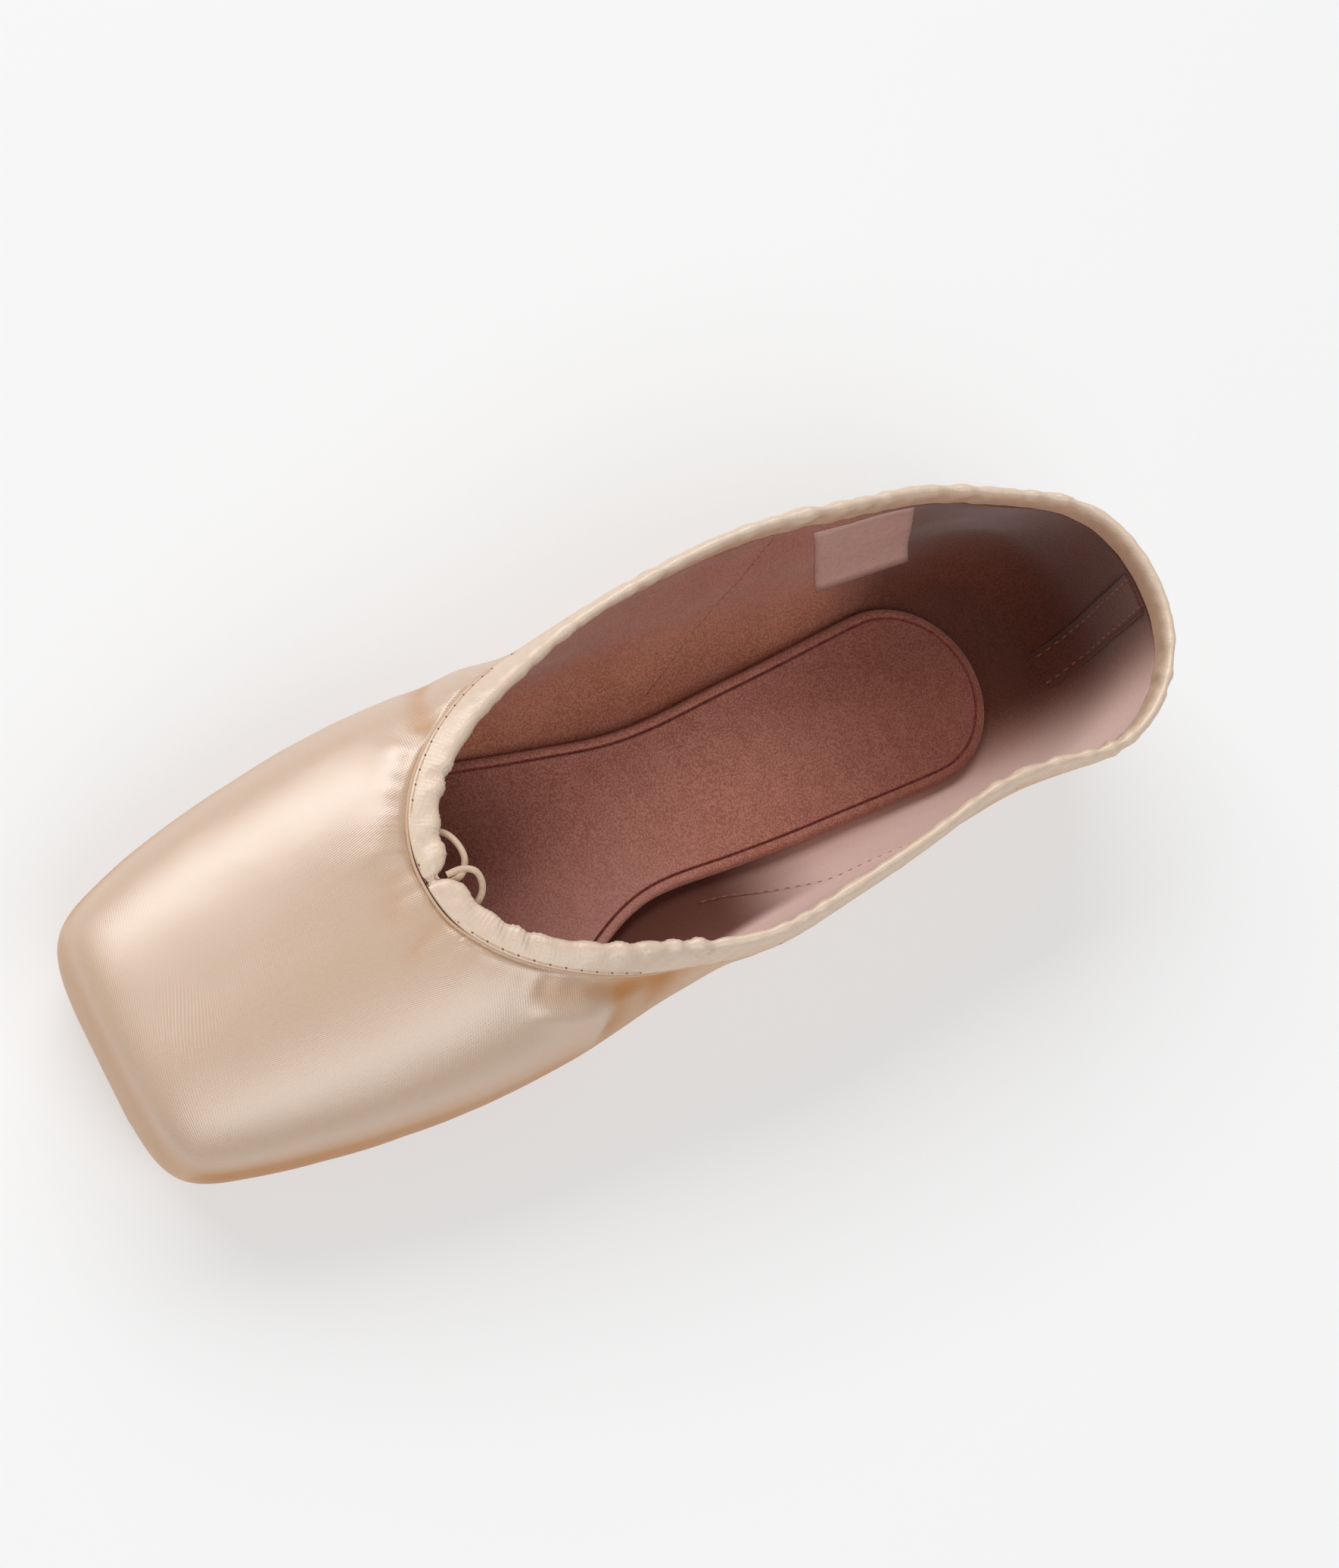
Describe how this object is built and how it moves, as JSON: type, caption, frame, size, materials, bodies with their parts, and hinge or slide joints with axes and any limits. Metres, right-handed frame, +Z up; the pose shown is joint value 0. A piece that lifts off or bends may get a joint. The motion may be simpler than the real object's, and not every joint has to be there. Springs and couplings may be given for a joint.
{
  "type": "pointe shoe",
  "caption": "Satin ballet pointe shoe with a stiff flat-tipped box, a bound oval collar with a drawstring, a suede insole and a short leather sole.",
  "frame": {"origin": "middle of the bounding box in plan, on the floor that the sole stands on", "axes": "+X from heel to toe, +Y to the wearer's left, +Z up"},
  "size_m": [0.2386, 0.0782, 0.0489],
  "materials": {
    "upper": "peach satin outside, dusty rose suede-like lining inside",
    "binding": "cream satin ribbon, puckered and stitched",
    "insole": "brushed dusty rose suede",
    "outsole": "matt tan leather, stitched",
    "cord": "soft cream braid"
  },
  "bodies": {
    "root": {"upper": "upper", "collar_binding": "binding", "insole": "insole", "outsole": "outsole", "drawstring_left": "cord", "drawstring_right": "cord"}
  },
  "joints": []
}
